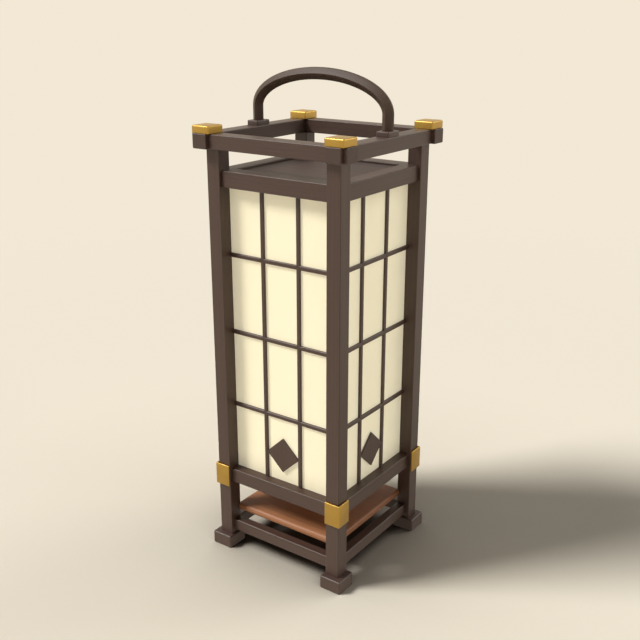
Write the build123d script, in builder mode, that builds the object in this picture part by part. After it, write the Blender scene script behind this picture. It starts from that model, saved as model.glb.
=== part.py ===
"""Andon floor lamp: a square paper lantern carried in a four-post frame.

Origin: on the floor, at the centre of the four feet. +Z is up, the front is -Y, the right is +X.
Units are millimetres. What repeats is drawn once, at the front or at the front right post, and
turned about Z for the other three. Heights are stacked from the floor up.
"""

import os

from build123d import *

# ---- posts and feet
post_pitch = 200.0  # between post centres, both ways
post_size = 22.0  # square section
post_edge = 1.2  # rounding of the long edges
post_tenon_size = 9.0  # square tenon into the top frame
post_tenon_length = 7.0

foot_size = 35.0
foot_height = 19.5
foot_outset = 2.5  # foot centre outside the post centre, both ways
foot_edge = 2.2
foot_underside_edge = 0.7
foot_tenon_size = 12.0  # square tenon of the post into its foot
foot_tenon_length = 12.0

# ---- stretchers and tray
stretcher_gap = 5.5  # above the feet
stretcher_height = 18.0
stretcher_thickness = 14.0
stretcher_setback = 6.7  # behind the posts' outer faces
stretcher_edge = 1.2

tray_gap = 11.4  # above the stretchers
tray_thickness = 11.0
tray_bite = 4.0  # tray corners let into the posts
tray_edge = 3.5

# ---- rails of the lantern body
shelf_gap = 44.9  # clear height over the tray
lower_rail_height = 22.0
lantern_height = 431.3  # clear height between lower and upper rails
upper_rail_height = 23.0
rail_thickness = 24.0
rail_setback = 4.7
rail_edge = 1.2

tenon_thickness = 8.0
tenon_length = 8.0
tenon_shoulder = 3.0  # rail left above and below its tenons
tenon_gap = 1.0  # between the two tenon levels in a post

plate_overlap = 6.3  # corner plate past the lower rail, above and below
plate_thickness = 3.2
plate_edge = 0.9

# ---- top frame, caps and handle
head_gap = 29.9  # between upper rails and top frame
top_rail_height = 20.0
top_rail_width = 23.5
top_rail_outset = 9.1  # rail centre line outside the post centres
top_rail_stub = 5.8  # rail end past the rail it crosses
top_rail_edge = 1.2
top_rail_end_edge = 0.6

cap_size = 30.2
cap_height = 10.8
cap_chamfer = 1.6
cap_corner = 2.0
cap_peg_diameter = 8.0
cap_peg_length = 7.0

handle_side = 13.2  # square bar, stood on its corner
handle_corner = 1.6  # small flats along the bar's corners
handle_leg = 20.3  # straight leg above its block
handle_rise = 48.3  # arch, from the end of the legs to the crown
handle_peg_diameter = 7.0
handle_peg_bite = 8.0  # peg depth in the rail
block_width = 19.5
block_length = 28.0
block_height = 7.2
block_corner = 2.0
block_edge = 1.2

# ---- lid
lid_thickness = 8.0
lid_recess = 3.0  # lid top below the upper rails' top
lid_clearance = 0.7
lid_edge = 1.0
lid_notch_radius = 10.0  # finger notch in the back edge
cleat_width = 6.0
cleat_height = 7.0
cleat_length = 140.0

# ---- lattice, lozenge and paper
lattice_setback = 16.8  # bar fronts behind the posts' outer faces
lattice_raise = 3.2  # middle cross bar above the middle of the opening
upright_width = 5.4
cross_bar_height = 5.8
cross_bar_pitch = 114.9
bar_depth = 3.6
bar_bite = 1.4  # bar ends let into posts and rails
bar_edge = 0.5

lozenge_rise = 43.3  # its centre above the lower rails
lozenge_height = 54.4
lozenge_bite = 0.8  # its side tips let into the uprights
lozenge_thickness = 3.0
lozenge_proud = 0.4  # in front of the bars

paper_thickness = 0.6
paper_side_bite = 0.9  # paper edges let into the posts
paper_end_bite = 2.0  # and into the rails

# ---- lamp board
board_thickness = 9.0
board_drop = 11.0  # board top below the lower rails' top
tongue_thickness = 5.0
tongue_length = 4.0
vent_diameter = 14.0
vent_circle_diameter = 104.0
wire_hole = 8.0

# ---- lampholder
holder_flange_diameter = 58.0
holder_flange_height = 9.0
holder_cup_diameter = 37.0
holder_height = 36.0
holder_floor = 10.0
holder_edge = 1.5
shell_wall = 0.5
contact_diameter = 9.0
contact_height = 1.5
screw_spacing = 47.0
screw_diameter = 3.5
screw_head_diameter = 7.0
screw_head_height = 2.4
screw_depth = 6.0  # in the lamp board

# ---- grommet, where a lead would enter
grommet_hole = 12.0
grommet_bore = 7.0
grommet_flange_diameter = 17.0
grommet_flange_height = 1.8
grommet_offset = 62.0  # behind the board's centre

# ---- bulb
screw_cap_diameter = 26.0
screw_cap_clearance = 0.3  # round the cap, in its shell
cap_tip_length = 3.0
cap_tip_diameter = 11.0
neck_clearance = 1.5  # bulb neck above the holder's rim
neck_diameter = 31.0
shoulder_diameter = 52.0
neck_length = 40.0
globe_diameter = 60.0

# ---- worked out from the sizes above
half_pitch = post_pitch / 2
post_outer = half_pitch + post_size / 2
post_inner = half_pitch - post_size / 2
foot_centre = half_pitch + foot_outset

stretcher_bottom = foot_height + stretcher_gap
stretcher_outer = post_outer - stretcher_setback
tray_bottom = stretcher_bottom + stretcher_height + tray_gap
tray_half = post_inner + tray_bite

rail_outer = post_outer - rail_setback
rail_inner = rail_outer - rail_thickness
lower_rail_bottom = tray_bottom + tray_thickness + shelf_gap
lower_rail_top = lower_rail_bottom + lower_rail_height
upper_rail_bottom = lower_rail_top + lantern_height
upper_rail_top = upper_rail_bottom + upper_rail_height

top_rail_bottom = upper_rail_top + head_gap
top_rail_top = top_rail_bottom + top_rail_height
top_rail_middle = top_rail_bottom + top_rail_height / 2
top_rail_centre = half_pitch + top_rail_outset
top_rail_inner = top_rail_centre - top_rail_width / 2
top_rail_end = top_rail_centre + top_rail_width / 2 + top_rail_stub
post_tenon_centre = (top_rail_inner + post_outer) / 2
block_top = top_rail_top + block_height

lid_bottom = upper_rail_top - lid_recess - lid_thickness
lid_half = rail_inner - lid_clearance

bar_front = post_outer - lattice_setback
bar_back = bar_front - bar_depth
paper_back = bar_back - paper_thickness
cell_width = (2 * post_inner - 2 * upright_width) / 3
upright_position = (cell_width + upright_width) / 2
middle_bar = (lower_rail_top + upper_rail_bottom) / 2 + lattice_raise
cross_bar_levels = [middle_bar + k * cross_bar_pitch for k in (-1, 0, 1)]
lozenge_level = lower_rail_top + lozenge_rise

board_top = lower_rail_top - board_drop
board_bottom = board_top - board_thickness
tongue_bottom = (board_top + board_bottom - tongue_thickness) / 2
shell_inner_radius = screw_cap_diameter / 2 + screw_cap_clearance
shell_outer_radius = shell_inner_radius + shell_wall
cup_floor = board_top + holder_floor
holder_top = board_top + holder_height
bulb_bottom = cup_floor + contact_height
neck_bottom = holder_top + neck_clearance

sides = {"front": 0, "right": 90, "back": 180, "left": 270}
corners = {"front_right": 0, "back_right": 90, "back_left": 180, "front_left": 270}

os.makedirs("parts", exist_ok=True)


def save(shape, name):
    """Write one node: a part, or a compound of separate pieces."""
    shape.label = name
    export_step(shape, f"parts/{name}.step")


def save_turned(shape, name, places):
    """Write a copy of one shape for each side or corner, turned about Z."""
    for place, angle in places.items():
        save(shape.rotate(Axis.Z, angle), f"{name}_{place}")


def slab(low, high, mode=Mode.ADD):
    """A box from its lowest to its highest corner."""
    size = [b - a for a, b in zip(low, high)]
    middle = [(a + b) / 2 for a, b in zip(low, high)]
    with Locations(Location(tuple(middle))):
        Box(*size, mode=mode)


def tenon_levels(bottom, height):
    """Heights of a rail's right and left tenons, which pass over each other in a post."""
    tall = (height - 2 * tenon_shoulder - tenon_gap) / 2
    right = bottom + tenon_shoulder
    left = right + tall + tenon_gap
    return (right, right + tall), (left, left + tall)


def rail_tenons(bottom, height, centre):
    """Stub tenons at both ends of a front rail, centred at y = -centre."""
    right, left = tenon_levels(bottom, height)
    low, high = -centre - tenon_thickness / 2, -centre + tenon_thickness / 2
    reach = post_inner + tenon_length
    slab((post_inner, low, right[0]), (reach, high, right[1]))
    slab((-reach, low, left[0]), (-post_inner, high, left[1]))


def post_mortises(bottom, height, centre):
    """Mortises in the front right post, for the front rail and for the right rail."""
    right, left = tenon_levels(bottom, height)
    near, far = centre - tenon_thickness / 2, centre + tenon_thickness / 2
    reach = post_inner + tenon_length
    slab((post_inner, -far, right[0]), (reach, -near, right[1]), mode=Mode.SUBTRACT)
    slab((near, -reach, left[0]), (far, -post_inner, left[1]), mode=Mode.SUBTRACT)


# ---- feet: a block with a mortise for its post
with BuildPart() as foot:
    with BuildSketch():
        with Locations((foot_centre, -foot_centre)):
            Rectangle(foot_size, foot_size)
    extrude(amount=foot_height)
    fillet(foot.edges().filter_by(Axis.Z), foot_edge)
    fillet(foot.faces().sort_by(Axis.Z)[-1].edges(), foot_edge)
    chamfer(foot.faces().sort_by(Axis.Z)[0].edges(), foot_underside_edge)
    with BuildSketch(Plane.XY.offset(foot_height)):
        with Locations((half_pitch, -half_pitch)):
            Rectangle(foot_tenon_size, foot_tenon_size)
    extrude(amount=-foot_tenon_length, mode=Mode.SUBTRACT)
save_turned(foot.part, "foot", corners)

# ---- posts: tenons at both ends, mortises for every rail, a housing for the tray
with BuildPart() as post:
    with BuildSketch(Plane.XY.offset(foot_height)):
        with Locations((half_pitch, -half_pitch)):
            Rectangle(post_size, post_size)
    extrude(amount=top_rail_bottom - foot_height)
    fillet(post.edges().filter_by(Axis.Z), post_edge)
    with BuildSketch(Plane.XY.offset(foot_height)):
        with Locations((half_pitch, -half_pitch)):
            Rectangle(foot_tenon_size, foot_tenon_size)
    extrude(amount=-foot_tenon_length)
    with BuildSketch(Plane.XY.offset(top_rail_bottom)):
        with Locations((post_tenon_centre, -post_tenon_centre)):
            Rectangle(post_tenon_size, post_tenon_size)
    extrude(amount=post_tenon_length)
    post_mortises(stretcher_bottom, stretcher_height, stretcher_outer - stretcher_thickness / 2)
    post_mortises(lower_rail_bottom, lower_rail_height, rail_outer - rail_thickness / 2)
    post_mortises(upper_rail_bottom, upper_rail_height, rail_outer - rail_thickness / 2)
    slab(
        (post_inner - tray_bite, -tray_half, tray_bottom),
        (tray_half, -post_inner + tray_bite, tray_bottom + tray_thickness),
        mode=Mode.SUBTRACT,
    )
    paper_low, paper_high = lower_rail_top - paper_end_bite, upper_rail_bottom + paper_end_bite
    groove = post_inner + paper_side_bite
    slab(
        (post_inner, -bar_back, paper_low), (groove, -paper_back, paper_high), mode=Mode.SUBTRACT
    )
    slab(
        (paper_back, -groove, paper_low), (bar_back, -post_inner, paper_high), mode=Mode.SUBTRACT
    )
    for level in cross_bar_levels:
        low, high = level - cross_bar_height / 2, level + cross_bar_height / 2
        reach = post_inner + bar_bite
        slab((post_inner, -bar_front, low), (reach, -bar_back, high), mode=Mode.SUBTRACT)
        slab((bar_back, -reach, low), (bar_front, -post_inner, high), mode=Mode.SUBTRACT)
save_turned(post.part, "post", corners)

# ---- stretchers
with BuildPart() as stretcher:
    slab(
        (-post_inner, -stretcher_outer, stretcher_bottom),
        (
            post_inner,
            -stretcher_outer + stretcher_thickness,
            stretcher_bottom + stretcher_height,
        ),
    )
    fillet(stretcher.edges().filter_by(Axis.X), stretcher_edge)
    rail_tenons(stretcher_bottom, stretcher_height, stretcher_outer - stretcher_thickness / 2)
save_turned(stretcher.part, "stretcher", sides)

# ---- tray board
with BuildPart() as tray:
    with BuildSketch(Plane.XY.offset(tray_bottom)):
        Rectangle(2 * tray_half, 2 * tray_half)
    extrude(amount=tray_thickness)
    fillet(tray.edges().filter_by(Axis.Z, reverse=True), tray_edge)
save(tray.part, "tray_board")


def body_rail(bottom, height, slotted, into):
    """A front rail of the lantern body, its inner corners mitred against its neighbours.

    Its face at height `slotted` takes the paper's edge and the uprights; into is +1 or -1,
    the way the rail lies from that face.
    """
    with BuildPart() as rail:
        with BuildSketch(Plane.XY.offset(bottom)):
            with BuildLine():
                Polyline(
                    (-post_inner, -rail_outer),
                    (post_inner, -rail_outer),
                    (post_inner, -post_inner),
                    (rail_inner, -rail_inner),
                    (-rail_inner, -rail_inner),
                    (-post_inner, -post_inner),
                    close=True,
                )
            make_face()
        extrude(amount=height)
        fillet(rail.edges().filter_by(Axis.X), rail_edge)
        rail_tenons(bottom, height, rail_outer - rail_thickness / 2)
        low, high = sorted((slotted, slotted + into * paper_end_bite))
        slab((-post_inner, -bar_back, low), (post_inner, -paper_back, high), mode=Mode.SUBTRACT)
        low, high = sorted((slotted, slotted + into * bar_bite))
        for x in (-upright_position, upright_position):
            left, right = x - upright_width / 2, x + upright_width / 2
            slab((left, -bar_front, low), (right, -bar_back, high), mode=Mode.SUBTRACT)
    return rail.part


# ---- lower rails: grooved for the lamp board
with BuildPart() as lower_rail:
    add(body_rail(lower_rail_bottom, lower_rail_height, lower_rail_top, -1))
    board_reach = rail_inner + tongue_length
    slab(
        (-board_reach, -board_reach, tongue_bottom),
        (board_reach, -rail_inner, tongue_bottom + tongue_thickness),
        mode=Mode.SUBTRACT,
    )
save_turned(lower_rail.part, "lower_rail", sides)

# ---- upper rails
upper_rail = body_rail(upper_rail_bottom, upper_rail_height, upper_rail_bottom, 1)
save_turned(upper_rail, "upper_rail", sides)

# ---- corner plates: an angle round the outer corner of each post, at the lower rails
with BuildPart() as plate:
    with BuildSketch(Plane.XY.offset(lower_rail_bottom - plate_overlap)):
        plate_outer = post_outer + plate_thickness
        with BuildLine():
            Polyline(
                (post_inner, -post_outer),
                (post_inner, -plate_outer),
                (plate_outer, -plate_outer),
                (plate_outer, -post_inner),
                (post_outer, -post_inner),
                (post_outer, -post_outer),
                close=True,
            )
        make_face()
    extrude(amount=lower_rail_height + 2 * plate_overlap)
    rims = plate.faces().filter_by(Axis.Z).edges()
    chamfer(rims.filter_by(lambda e: max(e.center().X, -e.center().Y) > post_outer), plate_edge)
save_turned(plate.part, "corner_plate", corners)

# ---- top frame: the side rails lie under the front and back rails in cross laps
def top_rail(lap_bottom, lap_top):
    """The right top rail, cut between two heights where the front and back rails cross it."""
    with BuildPart() as rail:
        with BuildSketch(Plane.XY.offset(top_rail_bottom)):
            with Locations((top_rail_centre, 0)):
                Rectangle(top_rail_width, 2 * top_rail_end)
        extrude(amount=top_rail_height)
        fillet(rail.edges().filter_by(Axis.Y), top_rail_edge)
        chamfer(rail.faces().filter_by(Axis.Y).edges(), top_rail_end_edge)
        for side in (-1, 1):
            near, far = sorted((side * top_rail_inner, side * (top_rail_inner + top_rail_width)))
            slab((0, near, lap_bottom), (top_rail_end, far, lap_top), mode=Mode.SUBTRACT)
    return rail.part


with BuildPart() as side_top_rail:
    add(top_rail(top_rail_middle, top_rail_top))
    with BuildSketch(Plane.XY.offset(top_rail_bottom)):
        with Locations(*[(post_tenon_centre, s * post_tenon_centre) for s in (-1, 1)]):
            Rectangle(post_tenon_size, post_tenon_size)
    extrude(amount=post_tenon_length, mode=Mode.SUBTRACT)
    with BuildSketch(Plane.XY.offset(top_rail_top)):
        with Locations((top_rail_centre, 0)):
            Circle(handle_peg_diameter / 2)
    extrude(amount=-handle_peg_bite, mode=Mode.SUBTRACT)
save_turned(side_top_rail.part, "top_rail", {"right": 0, "left": 180})

with BuildPart() as cross_top_rail:
    add(top_rail(top_rail_bottom, top_rail_middle))
    with BuildSketch(Plane.XY.offset(top_rail_top)):
        with Locations(*[(top_rail_centre, s * top_rail_centre) for s in (-1, 1)]):
            Circle(cap_peg_diameter / 2)
    extrude(amount=-cap_peg_length, mode=Mode.SUBTRACT)
save_turned(cross_top_rail.part, "top_rail", {"back": 90, "front": 270})

# ---- brass caps over the crossings
with BuildPart() as cap:
    with BuildSketch(Plane.XY.offset(top_rail_top)):
        with Locations((top_rail_centre, -top_rail_centre)):
            RectangleRounded(cap_size, cap_size, cap_corner)
    extrude(amount=cap_height)
    chamfer(cap.faces().sort_by(Axis.Z)[-1].edges(), cap_chamfer)
    with BuildSketch(Plane.XY.offset(top_rail_top)):
        with Locations((top_rail_centre, -top_rail_centre)):
            Circle(cap_peg_diameter / 2)
    extrude(amount=-cap_peg_length)
save_turned(cap.part, "top_cap", corners)

# ---- handle blocks on the side rails
with BuildPart() as block:
    with BuildSketch(Plane.XY.offset(top_rail_top)):
        with Locations((top_rail_centre, 0)):
            RectangleRounded(block_width, block_length, block_corner)
    extrude(amount=block_height)
    chamfer(block.faces().sort_by(Axis.Z)[-1].edges(), block_edge)
    with BuildSketch(Plane.XY.offset(block_top)):
        with Locations((top_rail_centre, 0)):
            Circle(handle_peg_diameter / 2)
    extrude(amount=-block_height, mode=Mode.SUBTRACT)
save_turned(block.part, "handle_block", {"right": 0, "left": 180})

# ---- handle: a square bar on its corner, bent to half an ellipse between straight legs
with BuildPart() as handle:
    spring = block_top + handle_leg
    with BuildLine(Plane.XZ) as bow:
        Line((-top_rail_centre, block_top), (-top_rail_centre, spring))
        EllipticalCenterArc((0, spring), top_rail_centre, handle_rise, 180, arc_size=-180)
        Line((top_rail_centre, spring), (top_rail_centre, block_top))
    with BuildSketch(Plane.XY.offset(block_top)):
        with Locations((-top_rail_centre, 0)):
            bar = Rectangle(handle_side, handle_side, rotation=45)
        chamfer(bar.vertices(), handle_corner)
    sweep(path=bow.wires()[0])
    with BuildSketch(Plane.XY.offset(block_top)):
        with Locations((-top_rail_centre, 0), (top_rail_centre, 0)):
            Circle(handle_peg_diameter / 2)
    extrude(amount=-(block_height + handle_peg_bite))
save(handle.part, "handle")

# ---- lid: a loose board on two cleats, with a finger notch in its back edge
with BuildPart() as lid:
    with BuildSketch(Plane.XY.offset(lid_bottom)):
        Rectangle(2 * lid_half, 2 * lid_half)
        with Locations((0, lid_half)):
            Circle(lid_notch_radius, mode=Mode.SUBTRACT)
    extrude(amount=lid_thickness)
    chamfer(lid.faces().sort_by(Axis.Z)[-1].edges(), lid_edge)
save(lid.part, "lid")

with BuildPart() as cleats:
    with BuildSketch(Plane.XY.offset(lid_bottom)):
        cleat_centre = rail_inner - cleat_width / 2
        with Locations((-cleat_centre, 0), (cleat_centre, 0)):
            Rectangle(cleat_width, cleat_length)
    extrude(amount=-cleat_height)
save(cleats.part, "lid_cleats")

# ---- lozenge: its side tips let into the two uprights
with BuildPart() as lozenge:
    tip = cell_width / 2 + lozenge_bite
    with BuildSketch(Plane.XZ.offset(bar_front + lozenge_proud - lozenge_thickness)):
        with BuildLine():
            Polyline(
                (-tip, lozenge_level),
                (0, lozenge_level - lozenge_height / 2),
                (tip, lozenge_level),
                (0, lozenge_level + lozenge_height / 2),
                close=True,
            )
        make_face()
    extrude(amount=lozenge_thickness)
    chamfer(lozenge.faces().sort_by(Axis.Y)[0].edges(), bar_edge)
save_turned(lozenge.part, "lozenge", sides)

# ---- kumiko: uprights lapped over the cross bars, all ends let into posts and rails
bar_middle = bar_front - bar_depth / 2
with BuildPart() as uprights:
    for x in (-upright_position, upright_position):
        slab(
            (x - upright_width / 2, -bar_front, lower_rail_top - bar_bite),
            (x + upright_width / 2, -bar_back, upper_rail_bottom + bar_bite),
        )
    fronts = uprights.edges().filter_by(Axis.Z).group_by(Axis.Y)[0]
    chamfer(fronts, bar_edge)
    for level in cross_bar_levels:
        slab(
            (-post_inner, -bar_middle, level - cross_bar_height / 2),
            (post_inner, -bar_back, level + cross_bar_height / 2),
            mode=Mode.SUBTRACT,
        )
    add(lozenge.part, mode=Mode.SUBTRACT)

with BuildPart() as cross_bars:
    reach = post_inner + bar_bite
    for level in cross_bar_levels:
        slab(
            (-reach, -bar_front, level - cross_bar_height / 2),
            (reach, -bar_back, level + cross_bar_height / 2),
        )
    fronts = cross_bars.edges().filter_by(Axis.X).group_by(Axis.Y)[0]
    chamfer(fronts, bar_edge)
    for x in (-upright_position, upright_position):
        slab(
            (x - upright_width / 2, -bar_front, lower_rail_top),
            (x + upright_width / 2, -bar_middle, upper_rail_bottom),
            mode=Mode.SUBTRACT,
        )
kumiko = Compound(uprights.part.solids() + cross_bars.part.solids())
save_turned(kumiko, "kumiko", sides)

# ---- paper: a sheet on each side, behind the bars
with BuildPart() as paper:
    slab(
        (-post_inner - paper_side_bite, -bar_back, lower_rail_top - paper_end_bite),
        (post_inner + paper_side_bite, -paper_back, upper_rail_bottom + paper_end_bite),
    )
save_turned(paper.part, "paper", sides)

# ---- lamp board: tongued into the lower rails, bored for air, wires and grommet
with BuildPart() as board:
    with BuildSketch(Plane.XY.offset(board_bottom)):
        Rectangle(2 * rail_inner, 2 * rail_inner)
    extrude(amount=board_thickness)
    with BuildSketch(Plane.XY.offset(tongue_bottom)):
        Rectangle(2 * (rail_inner + tongue_length), 2 * (rail_inner + tongue_length))
    extrude(amount=tongue_thickness)
    with BuildSketch(Plane.XY.offset(board_top)):
        with PolarLocations(vent_circle_diameter / 2, 4, start_angle=45):
            Circle(vent_diameter / 2)
        with Locations((0, grommet_offset)):
            Circle(grommet_hole / 2)
        Circle(wire_hole / 2)
    extrude(amount=-board_thickness, mode=Mode.SUBTRACT)
    with BuildSketch(Plane.XY.offset(board_top)):
        with Locations((-screw_spacing / 2, 0), (screw_spacing / 2, 0)):
            Circle(screw_diameter / 2)
    extrude(amount=-screw_depth, mode=Mode.SUBTRACT)
save(board.part, "lamp_board")

# ---- lampholder: porcelain base, screw shell, centre contact and two screws
with BuildPart() as holder:
    with BuildSketch(Plane.XY.offset(board_top)):
        Circle(holder_flange_diameter / 2)
    extrude(amount=holder_flange_height)
    with BuildSketch(Plane.XY.offset(board_top)):
        Circle(holder_cup_diameter / 2)
    extrude(amount=holder_height)
    circles = holder.edges().filter_by(GeomType.CIRCLE).group_by(Axis.Z)
    fillet([circles[1].sort_by(SortBy.RADIUS)[-1], circles[-1][0]], holder_edge)
    with BuildSketch(Plane.XY.offset(cup_floor)):
        Circle(shell_outer_radius)
    extrude(amount=holder_height - holder_floor, mode=Mode.SUBTRACT)
    with BuildSketch(Plane.XY.offset(board_top)):
        Circle(wire_hole / 2)
    extrude(amount=holder_floor, mode=Mode.SUBTRACT)
    with Locations((0, 0, board_top + holder_flange_height)):
        with Locations((-screw_spacing / 2, 0), (screw_spacing / 2, 0)):
            CounterBoreHole(
                screw_diameter / 2, screw_head_diameter / 2, screw_head_height, holder_flange_height
            )
save(holder.part, "lampholder_base")

with BuildPart() as shell:
    with BuildSketch(Plane.XY.offset(cup_floor)):
        Circle(shell_outer_radius)
        Circle(shell_inner_radius, mode=Mode.SUBTRACT)
    extrude(amount=holder_height - holder_floor - holder_edge)
save(shell.part, "lampholder_shell")

with BuildPart() as contact:
    with BuildSketch(Plane.XY.offset(cup_floor)):
        Circle(contact_diameter / 2)
    extrude(amount=contact_height)
    with BuildSketch(Plane.XY.offset(cup_floor)):
        Circle(wire_hole / 2)
    extrude(amount=-contact_height)
save(contact.part, "lampholder_contact")

with BuildPart() as screws:
    seat = board_top + holder_flange_height - screw_head_height
    with BuildSketch(Plane.XY.offset(seat)):
        with Locations((-screw_spacing / 2, 0), (screw_spacing / 2, 0)):
            Circle(screw_head_diameter / 2)
    extrude(amount=screw_head_height)
    with BuildSketch(Plane.XY.offset(seat)):
        with Locations((-screw_spacing / 2, 0), (screw_spacing / 2, 0)):
            Circle(screw_diameter / 2)
    extrude(amount=-(seat - board_top + screw_depth))
save(screws.part, "lampholder_screws")

# ---- grommet in the lamp board
with BuildPart() as grommet:
    with BuildSketch(Plane.XY.offset(board_bottom - grommet_flange_height)):
        with Locations((0, grommet_offset)):
            Circle(grommet_hole / 2)
    extrude(amount=board_thickness + 2 * grommet_flange_height)
    for level in (board_bottom - grommet_flange_height, board_top):
        with BuildSketch(Plane.XY.offset(level)):
            with Locations((0, grommet_offset)):
                Circle(grommet_flange_diameter / 2)
        extrude(amount=grommet_flange_height)
    with BuildSketch(Plane.XY.offset(board_bottom - grommet_flange_height)):
        with Locations((0, grommet_offset)):
            Circle(grommet_bore / 2)
    extrude(amount=board_thickness + 2 * grommet_flange_height, mode=Mode.SUBTRACT)
save(grommet.part, "cable_grommet")

# ---- bulb: screw cap, neck and globe
with BuildPart() as bulb_cap:
    with BuildSketch(Plane.XZ):
        with BuildLine():
            Polyline(
                (0, bulb_bottom),
                (cap_tip_diameter / 2, bulb_bottom),
                (screw_cap_diameter / 2, bulb_bottom + cap_tip_length),
                (screw_cap_diameter / 2, neck_bottom),
                (0, neck_bottom),
                close=True,
            )
        make_face()
    revolve(axis=Axis.Z)
save(bulb_cap.part, "bulb_cap")

neck_top = neck_bottom + neck_length
with BuildPart() as bulb_neck:
    with BuildSketch(Plane.XZ):
        with BuildLine():
            Line((0, neck_bottom), (neck_diameter / 2, neck_bottom))
            flare = TangentArc(
                (neck_diameter / 2, neck_bottom), (shoulder_diameter / 2, neck_top), tangent=(0, 1)
            )
            Line(flare @ 1, (0, neck_top))
            Line((0, neck_top), (0, neck_bottom))
        make_face()
    revolve(axis=Axis.Z)
save(bulb_neck.part, "bulb_neck")

globe_radius = globe_diameter / 2
globe_centre = neck_top + (globe_radius**2 - (shoulder_diameter / 2) ** 2) ** 0.5
with BuildPart() as globe:
    with BuildSketch(Plane.XZ):
        with BuildLine():
            ThreePointArc(
                (shoulder_diameter / 2, neck_top),
                (globe_radius, globe_centre),
                (0, globe_centre + globe_radius),
            )
            Line((0, globe_centre + globe_radius), (0, neck_top))
            Line((0, neck_top), (shoulder_diameter / 2, neck_top))
        make_face()
    revolve(axis=Axis.Z)
save(globe.part, "bulb_globe")
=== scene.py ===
import math

import bpy
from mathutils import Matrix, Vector, noise


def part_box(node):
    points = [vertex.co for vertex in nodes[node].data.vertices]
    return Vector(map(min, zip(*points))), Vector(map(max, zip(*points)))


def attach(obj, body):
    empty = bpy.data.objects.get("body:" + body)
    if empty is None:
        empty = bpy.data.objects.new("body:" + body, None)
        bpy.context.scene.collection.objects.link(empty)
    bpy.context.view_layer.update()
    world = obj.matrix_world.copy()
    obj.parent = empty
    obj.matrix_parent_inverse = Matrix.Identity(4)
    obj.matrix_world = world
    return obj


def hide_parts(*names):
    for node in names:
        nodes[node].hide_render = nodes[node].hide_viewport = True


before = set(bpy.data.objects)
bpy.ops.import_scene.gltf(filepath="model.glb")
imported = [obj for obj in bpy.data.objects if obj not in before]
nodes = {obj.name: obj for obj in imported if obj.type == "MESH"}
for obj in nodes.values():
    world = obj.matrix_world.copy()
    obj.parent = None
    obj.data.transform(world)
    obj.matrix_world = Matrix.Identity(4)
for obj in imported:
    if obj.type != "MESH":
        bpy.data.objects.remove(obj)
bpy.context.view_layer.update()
print("frame loaded,", len(nodes), "nodes")

mm = 0.001
sides = ["front", "right", "back", "left"]
corners = ["front_right", "back_right", "back_left", "front_left"]
backdropColour = (0.888, 0.806, 0.665)
black = (0.0, 0.0, 0.0)
white = (1.0, 1.0, 1.0)


class Value:  # a socket of a material, with arithmetic that adds Math nodes
    def __init__(self, paint, socket):
        self.paint = paint
        self.socket = socket

    def math(self, operation, *others):
        return self.paint.math(operation, self, *others)

    def __add__(self, other):
        return self.math("ADD", other)

    def __radd__(self, other):
        return self.paint.math("ADD", other, self)

    def __sub__(self, other):
        return self.math("SUBTRACT", other)

    def __rsub__(self, other):
        return self.paint.math("SUBTRACT", other, self)

    def __mul__(self, other):
        return self.math("MULTIPLY", other)

    def __rmul__(self, other):
        return self.paint.math("MULTIPLY", other, self)


class Paint:  # a material, or the world, being mixed
    def __init__(self, holder, grain=None):
        self.holder = holder
        self.grain = grain  # the piece's own attribute that patterns follow, if it has one
        holder.use_nodes = True
        self.tree = holder.node_tree
        self.tree.nodes.clear()

    def node(self, kind, settings=None, values=None, out=0):
        made = self.tree.nodes.new("ShaderNode" + kind)
        for setting, choice in (settings or {}).items():
            setattr(made, setting, choice)
        for name, value in (values or {}).items():
            socket = made.inputs[name]
            if isinstance(value, Value):
                self.tree.links.new(value.socket, socket)
            elif socket.type == "RGBA":
                socket.default_value = (*value, 1)
            else:
                socket.default_value = value
        return Value(self, made.outputs[out]) if made.outputs else None

    def math(self, operation, *values):
        return self.node("Math", {"operation": operation}, dict(enumerate(values)))

    def place(self, scale=(1, 1, 1), shift=(0, 0, 0)):
        if self.grain:
            where = self.node("Attribute", {"attribute_name": self.grain}, out="Vector")
        else:
            where = self.node("TexCoord", out="Object")
        return self.node("Mapping", values={"Vector": where, "Scale": scale, "Location": shift})

    def noise(self, scale, stretch=(1, 1, 1), shift=(0, 0, 0), detail=3.0, roughness=0.5):
        where = self.place(stretch, shift)
        return self.node(
            "TexNoise", values={"Vector": where, "Scale": scale, "Detail": detail, "Roughness": roughness}
        )

    def parts(self, vector):  # its x, y and z
        split = self.node("SeparateXYZ", values={"Vector": vector})
        return [Value(self, part) for part in split.socket.node.outputs]

    def blend(self, low, high, share):  # two colours, the Mix node's sockets 6 and 7
        return self.node("Mix", {"data_type": "RGBA"}, {"Factor": share, 6: low, 7: high}, out=2)

    def between(self, value, low, high, newLow=0.0, newHigh=1.0):
        limits = {"From Min": low, "From Max": high, "To Min": newLow, "To Max": newHigh}
        return self.node("MapRange", values={"Value": value, **limits})

    def bump(self, height, depth):
        return self.node("Bump", values={"Height": height, "Distance": depth})

    def layer(self, share, under, over):  # two shaders
        return self.node("MixShader", values={0: share, 1: under, 2: over})

    def ray(self, *kinds):  # 1 for rays of these kinds
        whole, *others = [self.node("LightPath", out="Is " + kind + " Ray") for kind in kinds]
        for other in others:
            whole = whole.math("MAXIMUM", other)
        return whole

    def surface(self, **values):
        names = {key.replace("_", " "): value for key, value in values.items()}
        shader = self.node("BsdfPrincipled", values=names)
        self.node("OutputMaterial", values={"Surface": shader})
        return self.holder


def newPaint(name, grain=None):
    return Paint(bpy.data.materials.new(name), grain)


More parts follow.
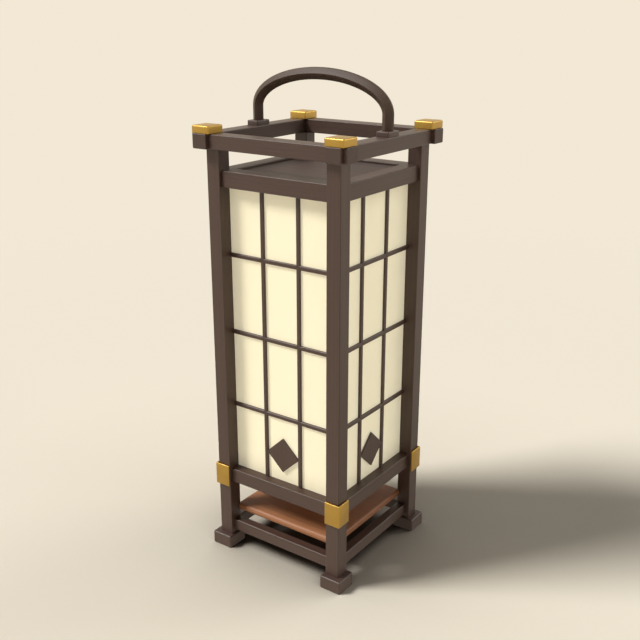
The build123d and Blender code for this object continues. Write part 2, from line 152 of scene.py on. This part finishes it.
# stained wood; fibres, streaks and rings run along one axis, with end grain on the faces that cut them
frameWood = {
    "dark": (0.0528, 0.0260, 0.0178), "light": (0.0648, 0.0328, 0.0222), "toneRange": (0.3, 0.66),
    "fibreTone": 0.35, "streakTone": 0.25, "ringTone": 0.2, "cloudTone": 0.2,
    "stretch": 0.035, "fibreScale": 420.0, "fibreDetail": 5.0, "fibreRoughness": 0.6,
    "streakScale": 95.0, "streakShift": (0.31, 0.17, 0.05), "softDetail": 2.0,
    "cloudScale": 14.0, "cloudShift": (0.11, 0.53, 0.29),
    "ringScale": 60.0, "heart": (0.13, 0.21, 0.09), "waver": 5.0, "waverDetail": 2.0, "waverScale": 1.5,
    "gloss": (0.40, 0.52), "glossFibres": 0.5, "glossRange": (0.4, 1.1), "ior": 1.56,
    "poreRange": (0.3, 0.5), "poreClouds": 0.4, "poreRings": 0.3, "poreDepth": 0.05 * mm,
    "endFacing": (0.75, 0.9), "endShade": 0.85, "endRings": 0.6, "endFibres": 0.5, "endGloss": 0.12,
}
lidWood = dict(
    frameWood, dark=(0.0315, 0.0150, 0.0135), light=(0.0430, 0.0225, 0.0185), gloss=(0.5, 0.6)
)
trayWood = dict(
    frameWood, dark=(0.295, 0.116, 0.047), light=(0.36, 0.152, 0.064), gloss=(0.50, 0.60), ior=1.5
)
bowWood = dict(
    frameWood, dark=(0.052, 0.0285, 0.0170), light=(0.064, 0.0355, 0.0215), gloss=(0.52, 0.62), ior=1.46
)
boardWood = dict(frameWood, dark=(0.40, 0.27, 0.16), light=(0.52, 0.37, 0.23), gloss=(0.55, 0.65))


def figure(paint, axis, wood):  # colour, gloss and height of the pores
    lengthwise = "XYZ".index(axis)
    along = [1.0, 1.0, 1.0]
    along[lengthwise] = wood["stretch"]
    fibres = paint.noise(
        wood["fibreScale"], along, detail=wood["fibreDetail"], roughness=wood["fibreRoughness"]
    )
    streaks = paint.noise(wood["streakScale"], along, wood["streakShift"], wood["softDetail"])
    clouds = paint.noise(wood["cloudScale"], shift=wood["cloudShift"], detail=wood["softDetail"])
    rings = paint.node(
        "TexWave",
        {"wave_type": "RINGS", "rings_direction": axis, "wave_profile": "SIN"},
        {
            "Vector": paint.place(along, wood["heart"]), "Scale": wood["ringScale"],
            "Distortion": wood["waver"], "Detail": wood["waverDetail"], "Detail Scale": wood["waverScale"],
        },
        out="Fac",
    )
    tone = fibres * wood["fibreTone"] + streaks * wood["streakTone"]
    tone = tone + rings * wood["ringTone"] + clouds * wood["cloudTone"]
    colour = paint.blend(wood["dark"], wood["light"], paint.between(tone, *wood["toneRange"]))
    gloss = paint.between(streaks + fibres * wood["glossFibres"], *wood["glossRange"], *wood["gloss"])
    height = paint.between(fibres, *wood["poreRange"])
    height = height + clouds * wood["poreClouds"] + rings * wood["poreRings"]
    if paint.grain is None:
        facing = paint.parts(paint.node("TexCoord", out="Normal"))[lengthwise]
        cut = paint.between(facing.math("ABSOLUTE"), *wood["endFacing"])
        pith = tuple(part * wood["endShade"] for part in wood["dark"])
        ends = paint.blend(pith, wood["dark"], rings * wood["endRings"] + fibres * wood["endFibres"])
        colour = paint.blend(colour, ends, cut)
        gloss = gloss + cut * wood["endGloss"]
    return colour, gloss, height


def woodPaint(name, axis, wood, grain=None):
    paint = newPaint(name, grain)
    colour, gloss, height = figure(paint, axis, wood)
    return paint.surface(
        Base_Color=colour, Roughness=gloss, IOR=wood["ior"], Normal=paint.bump(height, wood["poreDepth"])
    )


# where the bars stand and the opening that they fill, from the middle of a side and from the floor
lattice = {
    "across": 30.57 * mm, "uprightHalf": 2.9 * mm, "up": [236.25 * mm, 351.15 * mm, 466.05 * mm],
    "crossHalf": 3.1 * mm, "low": 132.3 * mm, "high": 563.6 * mm, "half": 89.0 * mm,
}


def sideways(x, y):  # distance from the middle of a side, whichever way the side faces
    return x.math("ABSOLUTE").math("MINIMUM", y.math("ABSOLUTE"))


def latticePaint(name, axis, wood):  # uprights grained up, cross bars along their own axis
    paint = newPaint(name)
    x, y, z = paint.parts(paint.place())
    offUpright = (sideways(x, y) - lattice["across"]).math("ABSOLUTE")
    first, second, third = ((z - height).math("ABSOLUTE") for height in lattice["up"])
    offCross = first.math("MINIMUM", second).math("MINIMUM", third)
    mask = offUpright.math("GREATER_THAN", lattice["uprightHalf"])
    mask = mask * offCross.math("LESS_THAN", lattice["crossHalf"])
    upright = figure(paint, "Z", wood)
    cross = figure(paint, axis, wood)
    gloss, height = (here + (there - here) * mask for here, there in zip(upright[1:], cross[1:]))
    return paint.surface(
        Base_Color=paint.blend(upright[0], cross[0], mask),
        Roughness=gloss,
        IOR=wood["ior"],
        Normal=paint.bump(height, wood["poreDepth"]),
    )


frameWoods = {axis: woodPaint("frame_wood_" + axis, axis, frameWood) for axis in "XYZ"}
latticeFinishes = {axis: latticePaint("lattice_wood_" + axis, axis, frameWood) for axis in "XY"}
bowFinish = woodPaint("bow_wood", "X", bowWood, grain="grain")
lidFinish = woodPaint("lid_wood", "X", lidWood)
trayFinish = woodPaint("tray_wood", "X", trayWood)
boardFinish = woodPaint("board_wood", "X", boardWood)

# satin brass under clear lacquer, with faint brushing
brass = {
    "deep": (0.42, 0.256, 0.050), "bright": (0.48, 0.298, 0.066), "toneRange": (0.3, 0.7),
    "gloss": (0.42, 0.52), "glossBrushing": 0.4, "glossRange": (0.45, 1.0),
    "lacquer": 0.25, "lacquerGloss": 0.26, "hazeScale": 38.0, "hazeShift": (0.4, 0.2, 0.7),
    "brushScale": 900.0, "brushStretch": (1.0, 1.0, 0.06), "brushDepth": 0.015 * mm,
}


def brassPaint(name, brass):
    paint = newPaint(name)
    brushing = paint.noise(brass["brushScale"], brass["brushStretch"])
    haze = paint.noise(brass["hazeScale"], shift=brass["hazeShift"])
    uneven = haze + brushing * brass["glossBrushing"]
    return paint.surface(
        Base_Color=paint.blend(brass["deep"], brass["bright"], paint.between(haze, *brass["toneRange"])),
        Metallic=1.0,
        Roughness=paint.between(uneven, *brass["glossRange"], *brass["gloss"]),
        Coat_Weight=brass["lacquer"],
        Coat_Roughness=brass["lacquerGloss"],
        Normal=paint.bump(brushing, brass["brushDepth"]),
    )


brassFinish = brassPaint("brass_satin", brass)

# handmade paper; its glow is painted light standing in for the bulb behind it, and painted shade dims the
# glow close to the wood
paper = {
    "thin": (0.69, 0.615, 0.41), "thick": (0.73, 0.655, 0.44), "roughness": 0.85,
    "glowThin": (0.38, 0.355, 0.275), "glowThick": (0.355, 0.33, 0.25),
    "fibreScale": 240.0, "fibreStretch": (1.0, 1.0, 0.35), "fibreDetail": 6.0, "fibreRoughness": 0.65,
    "cloudScale": 16.0, "cloudDetail": 4.0, "cloudShift": (0.2, 0.6, 0.1), "fibreDepth": 0.12 * mm,
    "fibreTone": 0.4, "cloudTone": 0.6, "toneRange": (0.35, 0.65),
    "railFade": 30.0 * mm, "paintedShadeByRails": 0.72, "postFade": 22.0 * mm, "paintedShadeByPosts": 0.85,
}


def paperPaint(name, paper):
    paint = newPaint(name)
    fibres = paint.noise(
        paper["fibreScale"], paper["fibreStretch"],
        detail=paper["fibreDetail"], roughness=paper["fibreRoughness"],
    )
    clouds = paint.noise(paper["cloudScale"], shift=paper["cloudShift"], detail=paper["cloudDetail"])
    tone = paint.between(fibres * paper["fibreTone"] + clouds * paper["cloudTone"], *paper["toneRange"])
    x, y, z = paint.parts(paint.place())
    # painted shade: the glow dims towards the rails and the posts
    fromRails = (z - lattice["low"]).math("MINIMUM", lattice["high"] - z)
    fromPosts = lattice["half"] - sideways(x, y)
    paintedShadeByRails = paint.between(fromRails, 0.0, paper["railFade"], paper["paintedShadeByRails"], 1.0)
    paintedShadeByPosts = paint.between(fromPosts, 0.0, paper["postFade"], paper["paintedShadeByPosts"], 1.0)
    glow = paint.blend(paper["glowThin"], paper["glowThick"], tone)
    return paint.surface(
        Base_Color=paint.blend(paper["thin"], paper["thick"], tone),
        Roughness=paper["roughness"],
        Emission_Color=paint.blend(black, glow, paintedShadeByRails * paintedShadeByPosts),
        Emission_Strength=1.0,
        Normal=paint.bump(fibres, paper["fibreDepth"]),
    )


paperFinish = paperPaint("washi_paper", paper)

# the plain finishes have a slight haze in colour, gloss and height
plain = {
    "hazeScale": 60.0, "mottle": 0.06, "toneRange": (0.35, 0.65),
    "glossSpread": 0.05, "glossRange": (0.3, 0.7), "depth": 0.02 * mm,
}


def plainPaint(name, colour, roughness, metallic=0.0, **glow):
    paint = newPaint(name)
    haze = paint.noise(plain["hazeScale"])
    darker = tuple(part * (1 - plain["mottle"]) for part in colour)
    gloss = (roughness - plain["glossSpread"], roughness + plain["glossSpread"])
    return paint.surface(
        Base_Color=paint.blend(darker, colour, paint.between(haze, *plain["toneRange"])),
        Roughness=paint.between(haze, *plain["glossRange"], *gloss),
        Metallic=metallic,
        Normal=paint.bump(haze, plain["depth"]),
        **glow,
    )


porcelainFinish = plainPaint("porcelain", (0.82, 0.79, 0.72), 0.14)
steelFinish = plainPaint("nickel", (0.62, 0.60, 0.57), 0.28, metallic=1.0)
rubberFinish = plainPaint("rubber", (0.03, 0.03, 0.032), 0.6)
plasticFinish = plainPaint("white_plastic", (0.80, 0.79, 0.75), 0.4)
globeFinish = plainPaint(
    "frosted_globe", (0.9, 0.87, 0.8), 0.5, Emission_Color=(0.9, 0.8, 0.6), Emission_Strength=1.0
)
print("materials mixed")


def dress(piece, material):
    piece.data.materials.clear()
    piece.data.materials.append(material)


for corner in corners:
    dress(nodes["post_" + corner], frameWoods["Z"])
    dress(nodes["foot_" + corner], frameWoods["Z"])
for side in sides:
    axis = "X" if side in ("front", "back") else "Y"
    for rail in ("stretcher_", "lower_rail_", "upper_rail_", "top_rail_"):
        dress(nodes[rail + side], frameWoods[axis])
    dress(nodes["kumiko_" + side], latticeFinishes[axis])
    dress(nodes["lozenge_" + side], frameWoods["Z"])
dress(nodes["lid"], lidFinish)
dress(nodes["lid_cleats"], lidFinish)
dress(nodes["lamp_board"], boardFinish)
dress(nodes["lampholder_base"], porcelainFinish)
dress(nodes["lampholder_shell"], brassFinish)
dress(nodes["lampholder_contact"], brassFinish)
dress(nodes["lampholder_screws"], steelFinish)
dress(nodes["cable_grommet"], rubberFinish)
print("frame dressed")

# hair: how near counts as touching; upright, facing: the least share of a direction that counts as it
making = {
    "hair": 0.1 * mm, "merge": 0.01 * mm, "upright": 0.9, "facing": 0.5, "smooth": math.radians(35),
}


def rest():  # nothing selected, out of edit mode
    if bpy.context.object and bpy.context.object.mode != "OBJECT":
        bpy.ops.object.mode_set(mode="OBJECT")
    bpy.ops.object.select_all(action="DESELECT")


def wake(piece):  # the piece alone selected
    rest()
    piece.select_set(True)
    bpy.context.view_layer.objects.active = piece


def settle(piece):  # its place, turn and size go into its mesh
    wake(piece)
    bpy.ops.object.transform_apply(location=True, rotation=True, scale=True)


def boxOf(node):
    low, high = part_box(node)
    return Vector(low), Vector(high)


def block(name, low, high):
    rest()
    bpy.ops.mesh.primitive_cube_add(size=1, location=(low + high) / 2)
    piece = bpy.context.object
    piece.name = name
    piece.scale = high - low
    settle(piece)
    return piece


def pick(piece, kind, test):  # vertices, edges or faces that pass the test stay selected, in edit mode
    wake(piece)
    bpy.ops.object.mode_set(mode="EDIT")
    bpy.ops.mesh.select_mode(type=kind)
    bpy.ops.mesh.select_all(action="DESELECT")
    bpy.ops.object.mode_set(mode="OBJECT")
    mesh = piece.data
    if kind == "FACE":
        for face in mesh.polygons:
            face.select = test(face.center, face.normal)
    elif kind == "EDGE":
        for edge in mesh.edges:
            start, end = (mesh.vertices[corner].co for corner in edge.vertices)
            edge.select = test((start + end) / 2, (end - start).normalized())
    else:
        for point in mesh.vertices:
            point.select = test(point.co, point.normal)
    bpy.ops.object.mode_set(mode="EDIT")


def upright(middle, along):  # edges that stand up
    return abs(along.z) > making["upright"]


def above(height):  # edges at this height or over it
    return lambda middle, along: middle.z > height - making["hair"]


def below(height):
    return lambda middle, along: middle.z < height + making["hair"]


def ease(piece, width, segments, test):  # rounds the edges that pass the test
    pick(piece, "EDGE", test)
    bpy.ops.mesh.bevel(offset=width, segments=segments, affect="EDGES")
    rest()


def closeUp(piece):  # merges what lies together and turns the faces outwards
    wake(piece)
    bpy.ops.object.mode_set(mode="EDIT")
    bpy.ops.mesh.select_all(action="SELECT")
    bpy.ops.mesh.remove_doubles(threshold=making["merge"])
    bpy.ops.mesh.select_all(action="SELECT")
    bpy.ops.mesh.normals_make_consistent(inside=False)
    rest()


def modify(piece, kind, **settings):
    wake(piece)
    modifier = piece.modifiers.new(kind.lower(), kind)
    for setting, choice in settings.items():
        setattr(modifier, setting, choice)
    bpy.ops.object.modifier_apply(modifier=modifier.name)


def turnedCopy(piece, name, quarters):
    wake(piece)
    bpy.ops.object.duplicate()
    copy = bpy.context.object
    copy.name = name
    copy.rotation_euler.z = quarters * math.pi / 2
    settle(copy)
    return copy


def allRound(piece, word, places):  # the piece and its copies, a quarter turn from place to place
    return [piece] + [turnedCopy(piece, word + places[i], i) for i in (1, 2, 3)]


def bezierLine(name, bends, steps):  # a bend is a point and its two handles, each across and up
    rest()
    bpy.ops.curve.primitive_bezier_curve_add()
    piece = bpy.context.object
    piece.name = name
    line = piece.data.splines[0]
    line.bezier_points.add(len(bends) - 2)
    line.resolution_u = steps
    for point, (at, before, after) in zip(line.bezier_points, bends):
        point.handle_left_type = point.handle_right_type = "FREE"
        point.co = (at[0], 0, at[1])
        point.handle_left = (before[0], 0, before[1])
        point.handle_right = (after[0], 0, after[1])
    return piece


def install(piece, material, body, node):
    wake(piece)
    bpy.ops.object.shade_smooth_by_angle(angle=making["smooth"])
    dress(piece, material)
    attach(piece, body)
    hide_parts(node)


# brass caps, one over each crossing of the top frame
cap = {"corner": 2.3 * mm, "shoulder": 2.1 * mm, "segments": 4, "rim": 0.5 * mm}


def makeCap():
    low, high = boxOf("top_cap_front_right")
    low.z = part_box("top_rail_front")[1][2]
    piece = block("cap_front_right", low, high)
    ease(piece, cap["corner"], cap["segments"], upright)
    ease(piece, cap["shoulder"], cap["segments"], above(high.z))
    ease(piece, cap["rim"], 1, below(low.z))
    return piece


# brass angles round the posts at the lower rails
plate = {"thickness": 3.2 * mm, "edge": 0.9 * mm, "segments": 3, "sharp": math.radians(40)}


def makePlate():
    low, high = boxOf("corner_plate_front_right")
    piece = block("plate_front_right", low, high)
    pick(piece, "FACE", lambda middle, facing: max(abs(facing.z), -facing.x, facing.y) > making["facing"])
    bpy.ops.mesh.delete(type="FACE")
    rest()
    modify(piece, "SOLIDIFY", thickness=plate["thickness"], offset=-1.0)
    modify(
        piece, "BEVEL", width=plate["edge"], segments=plate["segments"], limit_method="ANGLE",
        angle_limit=plate["sharp"],
    )
    return piece


for model, word, node in ((makeCap(), "cap_", "top_cap_"), (makePlate(), "plate_", "corner_plate_")):
    for corner, piece in zip(corners, allRound(model, word, corners)):
        install(piece, brassFinish, "frame", node + corner)
print("brass fitted")

# handle: a bar stood on its flattened corner, straight legs and half an ellipse between them
handle = {
    "reach": 109.1 * mm, "spring": 664.0 * mm, "crown": 712.3 * mm, "half": 8.19 * mm, "flat": 1.9 * mm,
    "ridge": 0.7 * mm, "ridgeSegments": 3, "steps": 28, "lead": 5.0 * mm,
    "blockCorner": 2.0 * mm, "blockEdge": 1.5 * mm, "blockSegments": 4,
}


def makeSection():
    half, flat = handle["half"], handle["flat"]
    point = half / (1 - flat / half)  # where the corners under the flats would be
    rest()
    bpy.ops.mesh.primitive_circle_add(vertices=4, radius=half)
    section = bpy.context.object
    section.scale.x = point / half
    settle(section)
    pick(section, "VERT", lambda at, facing: abs(at.x) > half)
    bpy.ops.mesh.bevel(offset=math.hypot(point, half) * flat / half, segments=1, affect="VERTICES")
    bpy.ops.mesh.select_all(action="SELECT")
    bpy.ops.mesh.bevel(offset=handle["ridge"], segments=handle["ridgeSegments"], affect="VERTICES")
    wake(section)
    bpy.ops.object.convert(target="CURVE")
    return bpy.context.object


def alongBow(at):  # how far along the bow a point is, and where in its section
    reach, spring, rise = handle["reach"], handle["spring"], handle["crown"] - handle["spring"]
    arch = math.pi * math.sqrt((reach**2 + rise**2) / 2)
    if at.z < spring:
        return Vector((at.z if at.x > 0 else 2 * spring + arch - at.z, at.y, abs(at.x) - reach))
    over, up = at.x / reach, (at.z - spring) / rise
    proud = (math.hypot(over, up) - 1) * math.hypot(at.x, at.z - spring)
    return Vector((spring + arch * math.atan2(up, over) / math.pi, at.y, proud))


def makeBow():
    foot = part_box("handle_block_right")[1][2]
    reach, spring, crown, lead = (handle[part] for part in ("reach", "spring", "crown", "lead"))
    lean = 4 / 3 * (math.sqrt(2) - 1)  # length of the bezier handles of a quarter round
    up, over = lean * (crown - spring), lean * reach
    bends = [
        ((-reach, foot), (-reach, foot - lead), (-reach, foot + lead)),
        ((-reach, spring), (-reach, spring - lead), (-reach, spring + up)),
        ((0, crown), (-over, crown), (over, crown)),
        ((reach, spring), (reach, spring + up), (reach, spring - lead)),
        ((reach, foot), (reach, foot + lead), (reach, foot - lead)),
    ]
    section = makeSection()
    bow = bezierLine("handle_bow", bends, handle["steps"])
    bow.data.bevel_mode = "OBJECT"
    bow.data.bevel_object = section
    bow.data.use_fill_caps = True
    wake(bow)
    bpy.ops.object.convert(target="MESH")
    bow = bpy.context.object
    bpy.data.objects.remove(section)
    settle(bow)
    closeUp(bow)
    grain = bow.data.attributes.new("grain", "FLOAT_VECTOR", "POINT")
    for point, place in zip(bow.data.vertices, grain.data):
        place.vector = alongBow(point.co)
    return bow


def makeHandleBlock():
    low, high = boxOf("handle_block_right")
    piece = block("handle_block_right_foot", low, high)
    ease(piece, handle["blockCorner"], handle["blockSegments"], upright)
    ease(piece, handle["blockEdge"], handle["blockSegments"], above(high.z))
    return piece


install(makeBow(), bowFinish, "frame", "handle")
rightBlock = makeHandleBlock()
leftBlock = turnedCopy(rightBlock, "handle_block_left_foot", 2)
install(rightBlock, frameWoods["Y"], "frame", "handle_block_right")
install(leftBlock, frameWoods["Y"], "frame", "handle_block_left")
print("handle made")

# tray board between the posts
tray = {"corner": 6.0 * mm, "edge": 4.6 * mm, "segments": 6}


def makeTray():
    piece = block("tray", *boxOf("tray_board"))
    ease(piece, tray["corner"], tray["segments"], upright)
    ease(piece, tray["edge"], tray["segments"], lambda middle, along: not upright(middle, along))
    return piece


install(makeTray(), trayFinish, "frame", "tray_board")

# sheets of paper, glued to the bars and slightly slack in each opening between them
sheet = {
    "columns": 37, "rows": 87, "thickness": 0.25 * mm,
    "slack": 0.35 * mm, "evenShare": 0.6, "cockleShare": 0.8, "cockle": 22.0,
    "across": [-lattice["half"], -lattice["across"], lattice["across"], lattice["half"]],
    "up": [lattice["low"], *lattice["up"], lattice["high"]],
}


def slackness(value, edges):  # 0 on a bar, 1 in the middle between two
    for low, high in zip(edges, edges[1:]):
        if low < value < high:
            return math.sin(math.pi * (value - low) / (high - low))
    return 0.0


def makeSheet():
    low, high = boxOf("paper_front")
    rest()
    bpy.ops.mesh.primitive_grid_add(x_subdivisions=sheet["columns"], y_subdivisions=sheet["rows"], size=1)
    piece = bpy.context.object
    piece.name = "washi_front"
    piece.scale = (high.x - low.x, high.z - low.z, 1)
    piece.rotation_euler.x = math.pi / 2
    piece.location = (0, low.y, (low.z + high.z) / 2)
    settle(piece)
    for point in piece.data.vertices:
        give = slackness(point.co.x, sheet["across"]) * slackness(point.co.z, sheet["up"])
        uneven = sheet["evenShare"] + sheet["cockleShare"] * noise.noise(point.co * sheet["cockle"])
        point.co.y += sheet["slack"] * give * uneven
    modify(piece, "SOLIDIFY", thickness=sheet["thickness"], offset=-1.0)
    return piece


for side, piece in zip(sides, allRound(makeSheet(), "washi_", sides)):
    install(piece, paperFinish, "frame", "paper_" + side)
print("tray and paper fitted")

# bulb: outlines turned round the axis; shares are of the piece's own radius, height or thread depth
bulb = {
    "turns": 64, "steps": 10, "globeArcs": 4,
    "neckProud": 0.5 * mm, "neckCurve": 0.55, "shoulderIn": 2.0 * mm, "shoulderCurve": 0.3,
    "tipInner": 0.35, "tipOuter": 0.4, "tipRise": 1.2 * mm, "rimProud": 0.2,
    "threadFrom": 3.0 * mm, "threadTo": 1.0 * mm, "pitch": 3.6 * mm, "threadDepth": 0.8 * mm,
    "crestRound": 1.1 * mm, "rootRound": 0.7 * mm,
}
screwRadius = (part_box("bulb_cap")[1][0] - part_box("bulb_cap")[0][0]) / 2


def bend(radius, height, reach=0.0):  # a point with upright bezier handles, a sharp one without reach
    at, along = Vector((radius, height)), Vector((0, reach))
    return at, at - along, at + along


def arc(centre, radius, start, stop, parts):  # bends of a round about a point on the axis
    bends = []
    step = math.radians(stop - start) / parts
    reach = 4 / 3 * math.tan(step / 4) * radius
    for i in range(parts + 1):
        turn = math.radians(start) + i * step
        at = Vector((radius * math.cos(turn), centre + radius * math.sin(turn)))
        along = Vector((-math.sin(turn), math.cos(turn))) * reach
        bends.append((at, at - along, at + along))
    return bends


def turned(name, bends):  # spins an outline round the axis
    wake(bezierLine(name, bends, bulb["steps"]))
    bpy.ops.object.convert(target="MESH")
    piece = bpy.context.object
    settle(piece)
    bpy.ops.object.mode_set(mode="EDIT")
    bpy.ops.mesh.select_all(action="SELECT")
    bpy.ops.mesh.remove_doubles(threshold=making["merge"])
    bpy.ops.mesh.spin(steps=bulb["turns"], angle=2 * math.pi, center=(0, 0, 0), axis=(0, 0, 1))
    closeUp(piece)
    return piece


def makeGlobe():
    low, high = boxOf("bulb_globe")
    radius = (high.x - low.x) / 2
    centre = high.z - radius
    start = -math.degrees(math.asin((centre - low.z) / radius))
    first, *others = arc(centre, radius, start, 90, bulb["globeArcs"])
    return turned("globe", [bend(0, low.z), (first[0], first[0], first[2]), *others])  # a flat underside


def makeNeck():
    low, high = boxOf("bulb_neck")
    foot, shoulder, rise = screwRadius + bulb["neckProud"], (high.x - low.x) / 2, high.z - low.z
    start, end = Vector((foot, low.z)), Vector((shoulder, high.z))
    leaving = Vector((foot, low.z + rise * bulb["neckCurve"]))
    arriving = Vector((shoulder - bulb["shoulderIn"], high.z - rise * bulb["shoulderCurve"]))
    side = [(start, start, leaving), (end, arriving, end)]
    return turned("neck", [bend(0, low.z), bend(foot, low.z), *side, bend(0, high.z)])


def makeScrewCap():
    low, high = boxOf("bulb_cap")
    root, height = screwRadius - bulb["threadDepth"], low.z + bulb["threadFrom"]
    bends = [
        bend(0, low.z),
        bend(screwRadius * bulb["tipInner"], low.z),
        bend(screwRadius * bulb["tipOuter"], low.z + bulb["tipRise"]),
        bend(root, height),
    ]
    while height + bulb["pitch"] < high.z - bulb["threadTo"]:  # rounded ridges
        bends.append(bend(screwRadius, height + bulb["pitch"] / 2, bulb["crestRound"]))
        height += bulb["pitch"]
        bends.append(bend(root, height, bulb["rootRound"]))
    bends.append(bend(screwRadius - bulb["threadDepth"] * bulb["rimProud"], high.z))
    bends.append(bend(0, high.z))
    return turned("screw_cap", bends)


install(makeGlobe(), globeFinish, "bulb", "bulb_globe")
install(makeNeck(), plasticFinish, "bulb", "bulb_neck")
install(makeScrewCap(), steelFinish, "bulb", "bulb_cap")
print("bulb turned")

# floor, in the backdrop's own colour, which takes over away from the lantern; contact is painted
# shade, an ambient-occlusion darkening close under the base that camera rays alone see
floor = {
    "size": 40.0, "fadeFrom": 1.1, "fadeTo": 2.4, "mirrored": 0.4, "contactReach": 0.6,
    "contactSamples": 24, "contactFrom": 0.24, "contactPower": 0.60, "contactLeast": 0.014,
}


def floorPaint():
    paint = newPaint("floor")
    where = paint.node("TexCoord", out="Object")
    reach = paint.node("VectorMath", {"operation": "LENGTH"}, {"Vector": where}, out="Value")
    openness = paint.node(
        "AmbientOcclusion",
        {"samples": floor["contactSamples"]},
        {"Distance": floor["contactReach"]},
        out="AO",
    )
    # painted shade: the floor darkens for camera rays where the base encloses it
    light = paint.between(openness, floor["contactFrom"], 1.0, floor["contactLeast"])
    shade = (1.0 - light.math("POWER", floor["contactPower"])) * paint.ray("Camera", "Transmission")
    bare = paint.node("BsdfDiffuse", values={"Color": backdropColour})
    dark = paint.node("BsdfDiffuse", values={"Color": black})
    glow = paint.node("Emission", values={"Color": backdropColour})
    away = paint.between(reach, floor["fadeFrom"], floor["fadeTo"])
    distant = away * paint.ray("Camera", "Glossy", "Transmission")
    shown = distant.math("MAXIMUM", paint.ray("Glossy") * floor["mirrored"])
    shader = paint.layer(shown, paint.layer(shade, bare, dark), glow)
    paint.node("OutputMaterial", values={"Surface": shader})
    return paint.holder


rest()
bpy.ops.mesh.primitive_plane_add(size=floor["size"], location=(0, 0, 0))
floorPiece = bpy.context.object
floorPiece.name = "floor"
dress(floorPiece, floorPaint())

ambient = {"strength": 0.10}
studio = Paint(bpy.data.worlds.new("studio"))
sky = studio.node("Background", values={"Color": white, "Strength": ambient["strength"]})
backdrop = studio.node("Background", values={"Color": backdropColour})
around = studio.layer(studio.ray("Camera", "Glossy", "Transmission"), sky, backdrop)
studio.node("OutputWorld", values={"Surface": around})
bpy.context.scene.world = studio.holder

# lamps: azimuth counts from +X towards +Y, and share is what each gives a level surface, of a whole of 1
lamps = {
    "key": {"azimuth": 222.4, "elevation": 46.0, "softness": 18.5, "share": 0.766},
    "fill": {"azimuth": 58.6, "elevation": 28.0, "softness": 28.0, "share": 0.095},
    "side": {"azimuth": 15.0, "elevation": 15.0, "softness": 40.0, "share": 0.022},
}
lampDistance = 3.0  # only for the look of the viewport
for name, lamp in lamps.items():
    turn, lift = math.radians(lamp["azimuth"]), math.radians(lamp["elevation"])
    away = Vector((math.cos(turn) * math.cos(lift), math.sin(turn) * math.cos(lift), math.sin(lift)))
    bpy.ops.object.light_add(type="SUN", location=away * lampDistance)
    light = bpy.context.object
    light.name = name
    light.data.angle = math.radians(lamp["softness"])
    light.data.energy = math.pi * lamp["share"] / math.sin(lift)
    light.rotation_euler = away.to_track_quat("Z", "Y").to_euler()

camera = {
    "place": (0.729675, -1.020716, 0.793668), "down": 19.079, "turn": 35.561,
    "lens": 50.51, "near": 10.0 * mm,
}
bpy.ops.object.camera_add(location=camera["place"])
eye = bpy.context.object
eye.rotation_euler = (math.radians(90 - camera["down"]), 0, math.radians(camera["turn"]))
eye.data.lens = camera["lens"]
eye.data.clip_start = camera["near"]
bpy.context.scene.camera = eye
bpy.context.scene.view_settings.view_transform = "Standard"
print("studio set")
